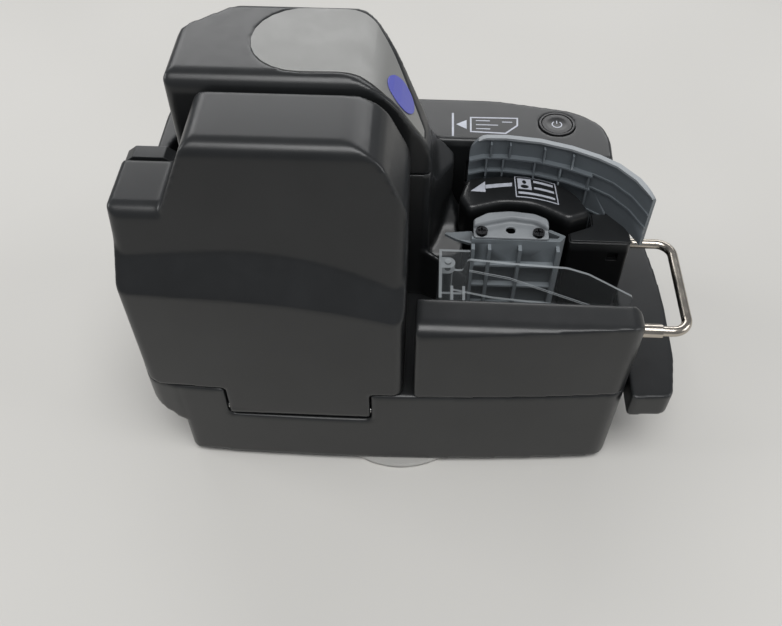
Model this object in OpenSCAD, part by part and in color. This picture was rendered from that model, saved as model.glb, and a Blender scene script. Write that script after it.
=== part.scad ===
// Desktop cheque scanner: a U-shaped document track between a hopper and an exit pocket,
// under a tipping front cover and a hinged centre cover.
// X runs along the track, Y to the back, Z up. The table is at z = 0.

/* [Overall] */
// Height of the table gap under the base
foot_h = 3; // [2:0.5:5]
// Height of the base's top, which is the floor of the track
floor_z = 58.5; // [56:0.5:62]
// Height of the deck behind the hopper
deck_z = 122; // [119:1:126]
// Height where the centre cover parts from the core
rim_z = 138; // [134:1:142]
// Height of the front and centre covers
cover_z = 186; // [180:1:192]
// Wall thickness of the moulded casings
wall = 2.5; // [2:0.1:3]
// Gap between casings that part or move
gap = 0.5; // [0.3:0.1:0.8]
// Gap under the front cover, which clears the base's edge as the cover tips
parting_gap = 0.8; // [0.8:0.1:1.5]

/* [Base] */
// Distance from the middle to each side of the skirt
base_half_w = 106.5; // [104:0.5:110]
// Distance from the middle to the foremost point of the skirt
front_y = 69.6; // [67:0.2:72]
// Distance from the middle to the back
rear_y = 73.2; // [71:0.2:76]
// Radius of the front's gentle bow in plan
bow_r = 1340; // [1000:20:2000]
// Place of the bow's foremost point along the track
bow_x = -30; // [-40:1:-20]
// Reach of the left overhang past the skirt
overhang = 25.5; // [20:0.5:28]
// Height at which the left overhang leaves the skirt
overhang_z = 29; // [26:0.5:33]
// Thickness of the bottom plate
plate_t = 2; // [1.5:0.1:2.5]
// Radius of a rubber foot
foot_r = 8; // [6:0.5:10]
// Radius of the clear grip pad
pad_r = 40; // [36:1:42]
// Distance from the middle to the centre of the grip pad
pad_y = 33.2; // [30:0.2:33.2]
// Radius of the casing screws
screw_r = 1.5; // [1.2:0.1:1.8]

/* [Front cover] */
// Left side of the front cover
cover_left = 117.5; // [114:0.5:119]
// Right side of the front cover
cover_right = 2; // [-2:0.5:2.5]
// Back face of the front cover
cover_back = -12.5; // [-14:0.1:-12]
// Place of the ridge between the top and the upper face
ridge_y = -46; // [-48:0.5:-44]
// Place of the foot of the upper face
upper_foot_y = -56; // [-58:0.5:-54]
// Height of the foot of the upper face
upper_foot_z = 141; // [138:0.5:144]
// Height of the crease where the shoulder meets the lower face
crease_z = 123.4; // [121:0.2:126]
// Height of the tab beside the upper block
tab_z = 158; // [154:0.5:160]
// Inner end of the tab
tab_right = 95; // [92:0.5:98]
// Bottom of the tongue in the middle of the front
tongue_z = 38.2; // [36:0.2:42]
// Left end of the tongue
tongue_left = 81.5; // [76:0.5:86]
// Right end of the tongue
tongue_right = 13.7; // [10:0.5:18]
// Radius of the hinge pin in the tongue
pin_r = 1.5; // [1:0.1:2]

/* [Centre cover] */
// Left side of the centre cover
tower_left = 99.5; // [97:0.5:102]
// Right side of the centre cover
tower_right = 11.5; // [9:0.1:12]
// Front face of the centre cover
tower_front = -5; // [-5.4:0.1:-4]
// Rear face of the centre cover
tower_rear = 51.4; // [50:0.1:52]
// Thickness of the inlay panel
inlay_t = 1.2; // [0.8:0.1:1.6]
// Radius of the round badge
badge_r = 9; // [6:0.5:10]

/* [Hopper and pocket] */
// Front edge of the deck, which is the back of the hopper
hopper_y = 39; // [38:0.5:42]
// Right end of the deck
deck_right = 99.1; // [96:0.1:102]
// Height of the hopper plate
hopper_plate_z = 133; // [128:1:138]
// Thickness of the hopper plate
hopper_plate_t = 1.8; // [1.4:0.1:2.4]
// Height of the card guide
island_z = 111; // [106:0.5:114]
// Height of the tail block that holds the wire's back leg
tail_z = 103; // [101.5:0.5:105]
// Height of the ridge of the exit pocket housing
pocket_z = 107.5; // [104:0.5:110]
// Left side of the exit pocket housing
pocket_left = 6.5; // [6:0.1:8]
// Back face of the exit pocket housing
pocket_back = -49; // [-51:0.5:-47]
// Front face of the divider plate
divider_y = -14.4; // [-16:0.2:-13]
// Height of the divider plate
divider_z = 109; // [106:0.5:111]

/* [Wire stop] */
// Radius of the wire
wire_r = 2.3; // [1.8:0.1:2.6]
// Height of the wire
wire_z = 97; // [95:0.5:98]
// Reach of the wire past the middle
wire_right = 126; // [120:0.5:128]
// Place of the wire's back leg
wire_back = -2; // [-4:0.5:0]
// Place of the wire's front leg
wire_front = -55; // [-56:0.5:-54.5]
// Inner radius of the wire's bends
wire_bend = 5; // [3:0.5:8]

/* [Button] */
// Radius of the power button
button_r = 7.4; // [6:0.1:8]
// Place of the button along the deck
button_x = 73.1; // [68:0.1:76]
// Distance of the button behind the middle
button_y = 54; // [52:0.5:56]
// Travel of the button
button_travel = 1.2; // [0.8:0.1:2]

/* [Transport] */
// Radius of the driven tyres
drive_r = 11; // [10:0.2:12]
// Radius of the pinch rollers
pinch_r = 7; // [6:0.2:8]
// Radius of the roller shafts
shaft_r = 2.5; // [2:0.1:3]
// Running clearance around a shaft
run_gap = 0.05; // [0.03:0.01:0.09]
// Radius of the belt pulleys
pulley_r = 9; // [8:0.2:10]
// Width of the drive belt
belt_w = 5; // [4:0.5:6]
// Width and depth of the motor
motor_w = 42; // [35:1:42]
// Height of the motor
motor_h = 28; // [24:1:30]
// Width of the document track
track_w = 3.8; // [3.4:0.1:4.2]

/* [Hidden] */
$fn = 48;
big = 400;
black = [0.10, 0.10, 0.10];
grey = [0.36, 0.38, 0.40];
light_grey = [0.60, 0.62, 0.64];
steel = [0.70, 0.69, 0.66];
clear = [0.80, 0.84, 0.86];

// Points of an outline whose corners, given as [x, y, radius], are rounded by arcs
function flat(p) = [p[0], p[1]];
function unit(v) = v / norm(v);
function turn(a, p, b) = (p[0] - a[0]) * (b[1] - p[1]) - (p[1] - a[1]) * (b[0] - p[0]);
function half_angle(u, w) = acos(max(-1, min(1, u * w))) / 2;
function arc_between(c, s, e, r, n) =
    let (a0 = atan2(s[1] - c[1], s[0] - c[0]), a1 = atan2(e[1] - c[1], e[0] - c[0]))
    let (d = a1 - a0, sweep = d > 180 ? d - 360 : d < -180 ? d + 360 : d)
    [for (k = [0:n]) [c[0] + r * cos(a0 + sweep * k / n), c[1] + r * sin(a0 + sweep * k / n)]];
function corner(a, p, b, n) =
    let (u = unit(flat(a) - flat(p)), w = unit(flat(b) - flat(p)), h = half_angle(u, w))
    let (t = p[2] / tan(h), c = flat(p) + unit(u + w) * p[2] / sin(h))
    p[2] <= 0 ? [flat(p)] : arc_between(c, flat(p) + u * t, flat(p) + w * t, p[2], n);
function rounded(pts, n = 6) =
    [for (i = [0:len(pts) - 1])
        each corner(pts[(i + len(pts) - 1) % len(pts)], pts[i], pts[(i + 1) % len(pts)], n)];
// The same outline, moved inwards by d; the points run anticlockwise
function inset(pts, d) =
    [for (i = [0:len(pts) - 1])
        let (a = pts[(i + len(pts) - 1) % len(pts)], p = pts[i], b = pts[(i + 1) % len(pts)])
        let (u = unit(flat(a) - flat(p)), w = unit(flat(b) - flat(p)), h = half_angle(u, w))
        let (side = turn(a, p, b) >= 0 ? 1 : -1)
        let (m = h > 89.5 ? [-w[1], w[0]] * d : unit(u + w) * side * d / sin(h))
        let (r = side > 0 ? p[2] - d : p[2] + d)
        [p[0] + m[0], p[1] + m[1], p[2] <= 0 || r < 0.2 ? 0 : r]];

// A plan outline raised between two heights
module prism(z0, z1, pts) {
    translate([0, 0, z0]) linear_extrude(z1 - z0) polygon(rounded(pts));
}
// An outline in y and z, drawn out along x
module along_x(x0, x1, pts) {
    translate([x0, 0, 0]) rotate([90, 0, 90]) linear_extrude(x1 - x0) polygon(rounded(pts));
}
// An outline in x and z, drawn out along y
module along_y(y0, y1, pts) {
    translate([0, y1, 0]) rotate([90, 0, 0]) linear_extrude(y1 - y0) polygon(rounded(pts));
}
module box(x0, x1, y0, y1, z0, z1) {
    translate([x0, y0, z0]) cube([x1 - x0, y1 - y0, z1 - z0]);
}
module rod(x, y, z0, z1, r) {
    translate([x, y, z0]) cylinder(r = r, h = z1 - z0);
}

// The bowed front: its place at x, moved inwards by d
function front_at(x, d = 0) = -front_y + d + pow(x - bow_x, 2) / (2 * bow_r);
function front_run(x0, x1, n) = [for (k = [0:n]) let (x = x0 + (x1 - x0) * k / n) [x, front_at(x), 0]];
function with_radius(p, r) = [p[0], p[1], r];
function bowed(x0, x1, n, r0, r1) =
    let (run = front_run(x0, x1, n))
    [for (k = [0:n]) k == 0 ? with_radius(run[k], r0) : k == n ? with_radius(run[k], r1) : run[k]];

// Base
skirt_plan = concat(bowed(-base_half_w, base_half_w, 10, 5, 9),
    [[base_half_w, rear_y, 12], [-base_half_w, rear_y, 12]]);
overhang_x = base_half_w + overhang;
overhang_plan = [[-overhang_x + 26, front_at(-overhang_x + 26) + 0.4, 12],
    [-tongue_left, front_at(-tongue_left), 0], [-tongue_left, rear_y, 0], [-overhang_x + 26, rear_y, 14],
    [-overhang_x, 42, 24], [-overhang_x, -36, 30], [-overhang_x + 14, -64, 10]];
overhang_side = [[-base_half_w + wall, overhang_z, 0], [-base_half_w - 1, overhang_z, 3],
    [-base_half_w - 8, overhang_z + 6, 8], [-overhang_x, floor_z - 9, 8], [-overhang_x, floor_z, 0],
    [-base_half_w + wall, floor_z, 0]];
ceiling_z = floor_z - wall;
plate_z = foot_h + plate_t;
post_r = 3.6;
post_x = base_half_w - 14.5;
post_front = -front_y + 17.6;
post_rear = rear_y - 15.2;
post_at = [[-post_x, post_front], [46, -front_y + 9.6], [post_x, post_front], [post_x, post_rear],
    [0, rear_y - 13.2], [-post_x, post_rear]];
foot_x = base_half_w - 18.5;
foot_front = -front_y + 35.6;
foot_rear = rear_y - 33.2;
foot_at = [[-foot_x, foot_front], [foot_x, foot_front], [foot_x, foot_rear], [-foot_x, foot_rear]];
hinge_r = 3.6;
hinge_y = -front_y + 4.2;
hinge_z = tongue_z + hinge_r;
tongue_depth = hinge_y + front_y + hinge_r + gap;
pin_left = -tongue_left - gap - wall;
pin_right = -tongue_right + gap + wall;
usb_x = base_half_w - 52.5;
jack_x = base_half_w - 30.5;
socket_gap = 0.4;

module skirt(d) prism(foot_h, floor_z, inset(skirt_plan, d));
module overhang_body(d) {
    intersection() {
        prism(overhang_z + d, floor_z - d, inset(overhang_plan, d));
        along_y(-big, big, inset(overhang_side, d));
    }
}
module tongue_recess() {
    box(-tongue_left - gap, -tongue_right + gap, -front_y - 1, -front_y + tongue_depth,
        tongue_z - gap, floor_z + 1);
}
module base_casing() color(black) difference() {
    union() {
        skirt(0);
        overhang_body(0);
    }
    difference() {
        translate([0, 0, -1]) prism(foot_h, ceiling_z + 1, inset(skirt_plan, wall));
        for (p = post_at) rod(p[0], p[1], plate_z, floor_z, post_r);
        box(-tongue_left - gap - wall, -tongue_right + gap + wall, -front_y, -front_y + tongue_depth + wall,
            tongue_z - gap - wall, floor_z);
    }
    overhang_body(wall);
    tongue_recess();
    for (p = post_at) rod(p[0], p[1], 0, plate_z + 9, screw_r + run_gap);
    for (s = shaft_at) rod(s[0], s[1], ceiling_z - 1, floor_z + 1, bush_r);
    box(usb_x - usb_w / 2 - socket_gap, usb_x + usb_w / 2 + socket_gap, rear_y - wall - 1, rear_y + 1,
        board_top - socket_gap, board_top + usb_h + socket_gap);
    rear_hole(jack_x, board_top + jack_h / 2, jack_r + socket_gap);
    x_rod(pin_left, pin_right, hinge_y, hinge_z, pin_r);
    box(-base_half_w - 1, -base_half_w + wall + 1, -28, 34, overhang_z + 9, ceiling_z - 4);
}
module rear_hole(x, z, r) {
    translate([x, rear_y + 1, z]) rotate([90, 0, 0]) cylinder(r = r, h = wall + 2);
}
module bottom_plate() color(black) difference() {
    union() {
        prism(foot_h, plate_z, inset(skirt_plan, wall + gap / 2));
        for (p = board_posts) rod(p[0], p[1], foot_h, board_z, 3);
    }
    for (p = post_at) rod(p[0], p[1], 0, plate_z + 1, screw_r + 0.1);
}
module rubber_feet() color([0.07, 0.07, 0.07]) for (p = foot_at) {
    translate([p[0], p[1], 0]) rotate_extrude()
        polygon([[0, 0], [foot_r - 1, 0], [foot_r, 1], [foot_r, foot_h], [0, foot_h]]);
}
module grip_pad() color(clear) translate([0, -pad_y, 0]) rotate_extrude($fn = 96)
    polygon([[0, 0], [pad_r - 1, 0], [pad_r, 1], [pad_r, foot_h - 1], [pad_r - 1, foot_h], [0, foot_h]]);
module casing_screws() color(steel) for (p = post_at) {
    rod(p[0], p[1], foot_h - 1.4, foot_h, screw_r * 1.9);
    rod(p[0], p[1], foot_h, plate_z + 8, screw_r);
}

// Tray beside the base, under the wire
tray_x = base_half_w + 2;
tray_right = base_half_w + overhang;
tray_z = floor_z - 15;
tray_plan = [[tray_x, -64.5, 2], [tray_right - 4.5, -63, 5], [tray_right - 0.6, -40, 60],
    [tray_right, -8, 60], [tray_right - 1.4, 14, 60], [tray_right - 4.5, 38, 8], [tray_x, 42, 3]];
module side_tray() color(black) {
    difference() {
        prism(tray_z, floor_z, tray_plan);
        translate([0, 0, -1]) prism(tray_z, floor_z - wall + 1, inset(tray_plan, wall));
    }
    for (y = [-45, -5, 30]) box(base_half_w, tray_x + wall, y - 6, y + 6, tray_z + 3, tray_z + 10);
}

// Track and tower outlines
chamfer_x = -18;
chamfer_y = 10;
slant_low = [tower_right, cover_z - 35];
slant_high = [tower_right - 24, cover_z];
tower_plan = [[-tower_left, tower_front, 4], [tower_right, tower_front, 3], [tower_right, chamfer_y, 8],
    [chamfer_x, tower_rear, 16], [-75, tower_rear, 12], [-tower_left, 30.6, 10]];
tower_view = [[-tower_left, 0, 0], [tower_right, 0, 0], with_radius(slant_low, 30),
    with_radius(slant_high, 33), [-tower_left, cover_z, 4]];
tower_side = [[tower_front, 0, 0], [tower_rear, 0, 0], [tower_rear, cover_z, 4], [tower_front, cover_z, 7.5]];
turn_x = -84;
turn_y = (tower_front + tower_rear) / 2;
turn_r = (tower_rear - tower_front) / 2;
rear_track_y = tower_rear + track_w / 2;
front_track_y = (tower_front + cover_back) / 2;

module tower_solid(z0, z1, d) {
    intersection() {
        prism(z0, z1, inset(tower_plan, d));
        along_y(-big, big, inset(tower_view, d));
        along_x(-big, big, inset(tower_side, d));
    }
}

// Rollers: [x, y] of each driven shaft, in the order feed, rear, front, exit
feed_x = 36;
feed_shaft = [feed_x, hopper_y + drive_r - 0.6];
rear_shaft = [-34, rear_track_y - drive_r];
front_shaft = [-72, front_track_y + drive_r];
exit_shaft = [-13, front_track_y + drive_r];
motor_shaft = [-50, 29];
shaft_at = [feed_shaft, rear_shaft, front_shaft, exit_shaft];
bush_r = shaft_r + 1.5;
chassis_z = 42;
chassis_t = 2;
chassis_rear = rear_y - 11.2;
belt_z = chassis_z + chassis_t + 3;
motor_boss_r = 11;
shaft_top = deck_z - 4;
tyre_h = 12;
tyre_low = floor_z + 12;
tyre_high = deck_z - 26;
nip = 0.3;
rear_pinch = [rear_shaft[0], rear_track_y + nip + pinch_r];
front_pinch = [front_shaft[0], front_track_y - nip - pinch_r];
exit_pinch = [exit_shaft[0], front_track_y - nip - pinch_r];
axle_r = 2;
pinch_low = floor_z + 8;
pinch_high = deck_z - 10;
window_gap = 1.2;

module tyre_window(p, r) {
    for (z = [tyre_low, tyre_high]) rod(p[0], p[1], z - window_gap, z + tyre_h + window_gap, r + window_gap);
}

// Housing behind the track, with the deck
housing_in = tower_rear + track_w;
deck_plan = [[deck_right - 0.4, hopper_y - 10.5, 1.5], [deck_right, hopper_y + 4, 18],
    [deck_right - 2.3, 55, 16], [deck_right - 15.3, rear_y - 7.4, 30], [42.5, rear_y, 80],
    [-100, rear_y, 0], [-100, housing_in, 0],
    [-17, housing_in, 12], [15.5, hopper_y, 6], [70, hopper_y, 12], [84, hopper_y - 10.5, 12]];
module rear_housing() color(black) difference() {
    union() {
        prism(floor_z, deck_z - 3, deck_plan);
        prism(deck_z - 3, deck_z - 1, inset(deck_plan, 0.5));
        prism(deck_z - 1, deck_z, inset(deck_plan, 1.4));
    }
    translate([0, 0, -1]) prism(floor_z, deck_z - wall + 1, inset(deck_plan, wall));
    tyre_window(feed_shaft, drive_r);
    rod(rear_pinch[0], rear_pinch[1], pinch_low - 1, pinch_high + 1, pinch_r + window_gap);
    rod(button_x, button_y, deck_z - 10, deck_z + 1, button_r + 1.4);
    box(head_x - head_w / 2 - gap, head_x + head_w / 2 + gap, housing_in - 1, housing_in + wall + 0.1,
        head_z - gap, head_z + head_h + gap);
}
left_x = -122;
left_plan = [[-100.1, rear_y, 0], [left_x, rear_y, 20], [left_x, -12, 8], [-100.1, -12, 0]];
module left_end_guide() color(black) difference() {
    union() {
        prism(floor_z, deck_z - 3, left_plan);
        prism(deck_z - 3, deck_z - 1, inset(left_plan, 0.5));
        prism(deck_z - 1, deck_z, inset(left_plan, 1.4));
    }
    rod(turn_x, turn_y, floor_z - 1, deck_z + 1, turn_r + track_w);
    box(-112, -102.6, rear_y - 17, rear_y - 5, floor_z - 1, deck_z - wall);
}
module turn_guide() color(black) difference() {
    rod(turn_x, turn_y, floor_z, deck_z - 2, turn_r - 0.2);
    prism(floor_z - 1, deck_z, inset(tower_plan, -0.2));
    box(-tower_left + 12, big, -big, big, 0, big);
}

// Core under the centre cover
throat_x = 22.2;
throat_plan = [[tower_right - 5, 0, 0], [tower_right + 0.6, 0, 6], [throat_x, 24, 8], [throat_x, 31, 1.2],
    [16, 35.5, 3], [2, 22, 0]];
throat_view = [[0, 0, 0], [throat_x + 1, 0, 0], [throat_x + 1, deck_z - 1, 1],
    [tower_right + 3, deck_z + 5, 8], [tower_right - 1, rim_z, 0], [0, rim_z, 0]];
flare_x = throat_x + 6.2;
flare_top = 92;
flare_plan = [[tower_right - 6, -3, 2], [flare_x, -3, 5], [flare_x, 24.5, 1.5], [throat_x - 1, 29, 3],
    [2, 20, 0]];
flare_view = [[0, 0, 0], [flare_x + 1, 0, 0], [flare_x + 1, flare_top, 0], [flare_x - 2, flare_top, 6],
    [throat_x - 0.5, flare_top + 9, 4], [0, flare_top + 9, 0]];
flare_side = [[-4, 0, 0], [34, 0, 0], [34, flare_top + 9, 0], [22, flare_top + 9, 8], [12, flare_top - 1, 10],
    [-4, flare_top - 8, 0]];
module core_housing() color(black) difference() {
    union() {
        prism(floor_z, rim_z, tower_plan);
        throat();
        flare();
        hinge_lugs();
        exit_deflector();
    }
    translate([0, 0, -1]) prism(floor_z, rim_z + 1.4, inset(tower_plan, wall));
    prism(floor_z - 1, deck_z - wall - 1, inset(throat_plan, wall));
    tyre_window(rear_shaft, drive_r);
    tyre_window(front_shaft, drive_r);
    tyre_window(exit_shaft, drive_r);
    prism(floor_z - 1, flare_top + 10, inset(island_plan, -0.3));
    box(sensor_x - sensor_w / 2 - gap, sensor_x + sensor_w / 2 + gap, tower_front - 1, tower_front + wall + 1,
        sensor_z - gap, sensor_z + sensor_h + gap);
}
// Wall that parts the hopper from the core, with a slanted top
module throat() intersection() {
    prism(floor_z, rim_z - 1, throat_plan);
    along_y(-big, big, throat_view);
}
// Spreading foot of that wall, lower towards the front
module flare() intersection() {
    prism(floor_z, flare_top + 9, flare_plan);
    along_y(-big, big, flare_view);
    along_x(-big, big, flare_side);
}
// Plate that leads a document from the track to the pocket, lower towards its free end
module exit_deflector() intersection() {
    prism(floor_z, big, [[5, -3.8, 0], [deflector_x, divider_y, 0.6], [deflector_x, divider_y + 2, 0.6],
        [8, -2, 0]]);
    along_y(-big, big, [[0, 0, 0], [divider_left, 0, 0], [divider_left, deflector_z - 8, 0],
        [12, deflector_z, 4], [0, deflector_z, 0]]);
}
deflector_z = 90;
module core_top_plate() color(grey) difference() {
    prism(shaft_top, shaft_top + 2, inset(tower_plan, wall));
    for (s = [rear_shaft, front_shaft, exit_shaft]) rod(s[0], s[1], 0, big, bush_r);
    cart_box(1.5, 0, big);
}

// Exit pocket housing in front
pocket_plan = concat(bowed(pocket_left, base_half_w - 0.5, 5, 2, 8),
    [[base_half_w - 0.5, pocket_back, 4], [pocket_left, pocket_back, 2]]);
pocket_side = [[-front_y - 0.2, 0, 0], [pocket_back, 0, 0], [pocket_back, pocket_z, 1.5],
    [-front_y - 0.2, pocket_z, 8]];
pocket_view = [[pocket_left, 0, 0], [base_half_w - 0.5, 0, 0], [base_half_w - 0.5, pocket_z, 8],
    [pocket_left, pocket_z, 1.5]];
module pocket_solid(z0, z1, d) {
    intersection() {
        prism(z0, z1, inset(pocket_plan, d));
        along_x(-big, big, inset(pocket_side, d));
        along_y(-big, big, inset(pocket_view, d));
    }
}
module exit_pocket_housing() color(black) difference() {
    pocket_solid(floor_z, pocket_z, 0);
    translate([0, 0, -1]) pocket_solid(floor_z, pocket_z, wall);
    x_rod(base_half_w - wall - 6, base_half_w + 1, wire_front, wire_z, sleeve_r);
}

// Card guide, tail block and hopper plate
island_plan = [[25.1, 11.9, 3], [29.7, 3.2, 3], [45.4, 8.7, 20], [60, 8.4, 20], [76.1, -1.3, 3],
    [87.2, 3.2, 2], [80, 20.2, 18], [66, 25.4, 20], [46.2, 28.2, 20], [29.1, 25.5, 5]];
module card_guide() color(black) difference() {
    union() {
        prism(floor_z, island_z - 2, island_plan);
        prism(island_z - 2, island_z - 0.6, inset(island_plan, 0.5));
        prism(island_z - 0.6, island_z, inset(island_plan, 1.3));
    }
    translate([0, 0, -1]) prism(floor_z, island_z - wall, inset(island_plan, wall));
}
tail_plan = [[77, -8, 1.5], [106, -8, 2], [106, 7, 4], [102, 11.5, 3], [88.5, 11.5, 1], [88.3, 3, 1],
    [77, -2.2, 0.5]];
notch = 5;
module tail_block() color(black) difference() {
    union() {
        prism(floor_z, tail_z - 1, tail_plan);
        prism(tail_z - 1, tail_z, inset(tail_plan, 0.7));
    }
    x_rod(92, 107, wire_back, wire_z, sleeve_r);
    x_rod(leg_bore_x, 93, wire_back, wire_z, wire_r + 0.3);
    box(96, 96 + notch, -9, -6, tail_z - 12, tail_z - 12 + notch);
}
plate_left = 29.4;
plate_right = 111.5;
plate_line = [[plate_left - 1, 26.2], [36, 29], [46, 29.3], [62, 27.2], [76, 22.8], [88, 17], [96, 11.5],
    [103.5, 2.5], [109, -9]];
// Strip that follows the plate, between t0 and t1 behind its front face
module plate_strip(z0, z1, t0, t1) {
    last = len(plate_line) - 1;
    translate([0, 0, z0]) linear_extrude(z1 - z0)
        polygon(concat([for (k = [0:last]) plate_shift(k, t0)], [for (k = [last:-1:0]) plate_shift(k, t1)]));
}
function plate_dir(k) =
    let (a = plate_line[max(k - 1, 0)], b = plate_line[min(k + 1, len(plate_line) - 1)])
    unit(b - a);
function plate_shift(k, t) = let (d = plate_dir(k)) plate_line[k] + [-d[1], d[0]] * t;
rib_t = 0.9;
rib_d = 2.8;
rib_end = 86.5;
rib_z = [floor_z, hopper_plate_z - 49, hopper_plate_z - 33, hopper_plate_z - 19, hopper_plate_z - 11];
module hopper_plate() color(grey) difference() {
    intersection() {
        union() {
            plate_strip(floor_z, hopper_plate_z, 0, hopper_plate_t);
            plate_strip(hopper_plate_z - 1.2, hopper_plate_z, -0.8, 0.1);
            plate_ribs(rib_d, 0, rib_end);
            plate_ribs(0.7, rib_end, big);
            for (x = [39.4, 48.3, 64.3, 77.2]) plate_rib(x, rib_z[4] + 0.3, hopper_plate_z - 2.5);
            for (x = [37.8, 45.7, 60.6, 72.5, 85.3]) plate_rib(x, floor_z, rib_z[4] + 0.3);
        }
        along_y(-big, big, [[plate_left, 0, 0], [plate_right, 0, 0], [plate_right, hopper_plate_z, 5],
            [plate_left, hopper_plate_z, 8]]);
    }
    prism(0, island_z + 0.3, inset(island_plan, -0.3));
    prism(0, tail_z, inset(tail_plan, -0.3));
    box(98, 112, -10, 12, 0, tail_z);
}
// Level ribs of one depth in front of the plate, between two places along the track
module plate_ribs(depth, x0, x1) intersection() {
    for (z = rib_z) plate_strip(z, z + rib_t, -depth, 0.1);
    box(x0, x1, -big, big, 0, big);
}
module plate_rib(x, z0, z1) {
    y = lookup(x, plate_line);
    box(x - rib_t / 2, x + rib_t / 2, y - rib_d + 0.1, y + 0.6, z0, z1);
}

// Divider between the track and the exit pocket
divider_left = 31;
deflector_x = divider_left - 0.3;
divider_right = 71.4;
divider_rib_x = [divider_left, 38.5, 52.5, divider_right - 1.6];
module pocket_divider() color(grey) difference() {
    divider_body();
    for (x = cap_screw_x) rod(x, cap_screw_y, divider_z - 9, divider_z + 1, screw_r + 0.05);
}
module divider_body() {
    box(divider_left, divider_right, divider_y, divider_y + 2, floor_z, divider_z);
    for (x = divider_rib_x) box(x, x + 1.6, divider_y - 3.6, divider_y, floor_z, divider_z - 3);
    for (z = [66, 80, 94]) box(divider_left, divider_right, divider_y - 3, divider_y, z, z + 1.2);
    for (x = cap_screw_x) rod(x, cap_screw_y, divider_z - 12, divider_z, screw_r + 1.2);
    prism(floor_z, divider_z, [[divider_right - 2, divider_y, 0], [divider_right, divider_y, 0.6],
        [divider_right + 3, divider_y + 3.7, 0.8], [divider_right - 4.4, divider_y + 7.7, 0.6],
        [divider_right - 5.2, divider_y + 6.2, 0.4], [divider_right + 0.2, divider_y + 3.3, 0.4],
        [divider_right - 1.5, divider_y + 1.6, 0]]);
    prism(divider_z - 5.5, divider_z - 4, [[divider_left - 13, divider_y + 7.4, 0.5],
        [divider_left - 7, divider_y + 3.6, 2], [divider_left + 2, divider_y + 0.4, 0],
        [divider_left + 2, divider_y + 2, 0], [divider_left + 0.5, divider_y + 9.2, 0.8]]);
}
// Cap with a low ledge in front, which holds the screws, and a raised rim behind
cap_plan = [[31.6, divider_y, 1.5], [66.2, divider_y, 1.5], [66.2, -4, 3], [60, -0.6, 8], [48.8, 0.8, 14],
    [38, -0.8, 8], [31.6, -5.4, 3]];
cap_rim_plan = [[31.6, -9.6, 0.8], [39.3, -6.8, 6], [48.8, -4, 10], [60, -5.6, 6], [66.2, -10.4, 0.8],
    [66.2, -4, 3], [60, -0.6, 8], [48.8, 0.8, 14], [38, -0.8, 8], [31.6, -5.4, 2]];
ledge_z = divider_z + 1.5;
cap_top = divider_z + 4.6;
module divider_cap() color(light_grey) difference() {
    union() {
        prism(divider_z, ledge_z, cap_plan);
        prism(divider_z, cap_top - 0.8, cap_rim_plan);
        prism(cap_top - 0.8, cap_top, inset(cap_rim_plan, 0.7));
    }
    for (x = cap_screw_x) rod(x, cap_screw_y, 0, big, screw_r + 0.1);
    rod(48.8, -9.2, 0, big, 2.2);
}
cap_screw_x = [35.4, 61.4];
cap_screw_y = divider_y + 2.9;
cap_head_r = 2.7;
cap_head_z = ledge_z + 1.6;
module cap_screws() color([0.12, 0.12, 0.12]) for (x = cap_screw_x) difference() {
    union() {
        rod(x, cap_screw_y, ledge_z, cap_head_z, cap_head_r);
        rod(x, cap_screw_y, divider_z - 8, ledge_z, screw_r);
    }
    box(x - 1.8, x + 1.8, cap_screw_y - 0.4, cap_screw_y + 0.4, cap_head_z - 0.9, big);
    box(x - 0.4, x + 0.4, cap_screw_y - 1.8, cap_screw_y + 1.8, cap_head_z - 0.9, big);
}

// Button on the deck
module button_bezel() color([0.05, 0.05, 0.05]) difference() {
    rod(button_x, button_y, deck_z - 10, deck_z + 0.6, button_r + 1.4);
    rod(button_x, button_y, deck_z - 7.8 - button_travel, big, button_r + 0.3);
    rod(button_x, button_y, 0, big, stem_r + run_gap);
}
stem_r = 2;
module power_button() color([0.06, 0.06, 0.06]) translate([button_x, button_y, 0]) difference() {
    union() {
        translate([0, 0, deck_z - 6]) cylinder(r = button_r, h = 6.4);
        translate([0, 0, deck_z - 12]) cylinder(r = stem_r, h = 7);
    }
    translate([0, 0, deck_z + 0.4 + 30]) sphere(r = 30.5, $fn = 96);
}

// Clear guide block and flag at the mouth of the exit pocket
flag_x = 20.5;
flag_y = -23;
flag_pin_r = 1.5;
flag_hub_r = 2.6;
flag_t = 1.2;
flag_tilt = -3.5;
guide_top = divider_z - 5;
ear_t = 4;
ear_low = floor_z + 6;
ear_high = guide_top - ear_t - 2;
guide_left = 16.3;
guide_right = divider_left - 0.3;
guide_rear = -16.6;
guide_front = -46;
guide_wall = 1.3;
module exit_guide_block() color(clear) difference() {
    union() {
        box(guide_left, guide_right, guide_front, guide_rear, floor_z, ear_low);
        box(guide_left, guide_left + guide_wall, guide_front, guide_rear, floor_z, guide_top);
        box(guide_left, guide_right, guide_rear - guide_wall, guide_rear, floor_z, guide_top);
        for (y = [-44, -36, -30])
            box(guide_left, guide_right - 2, y, y + guide_wall, floor_z, guide_top - 16);
        for (x = [22, 27.4]) box(x, x + guide_wall, -44, -30, floor_z, guide_top - 10);
        for (z = [ear_low, ear_high]) prism(z, z + ear_t, [[guide_left, flag_y - 3.3, 0],
            [flag_x + 3.3, flag_y - 3.3, 3.2], [flag_x + 3.3, flag_y + 3.3, 3.2],
            [guide_left, flag_y + 3.3, 0]]);
    }
    rod(flag_x, flag_y, 0, big, flag_pin_r + run_gap);
}
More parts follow.
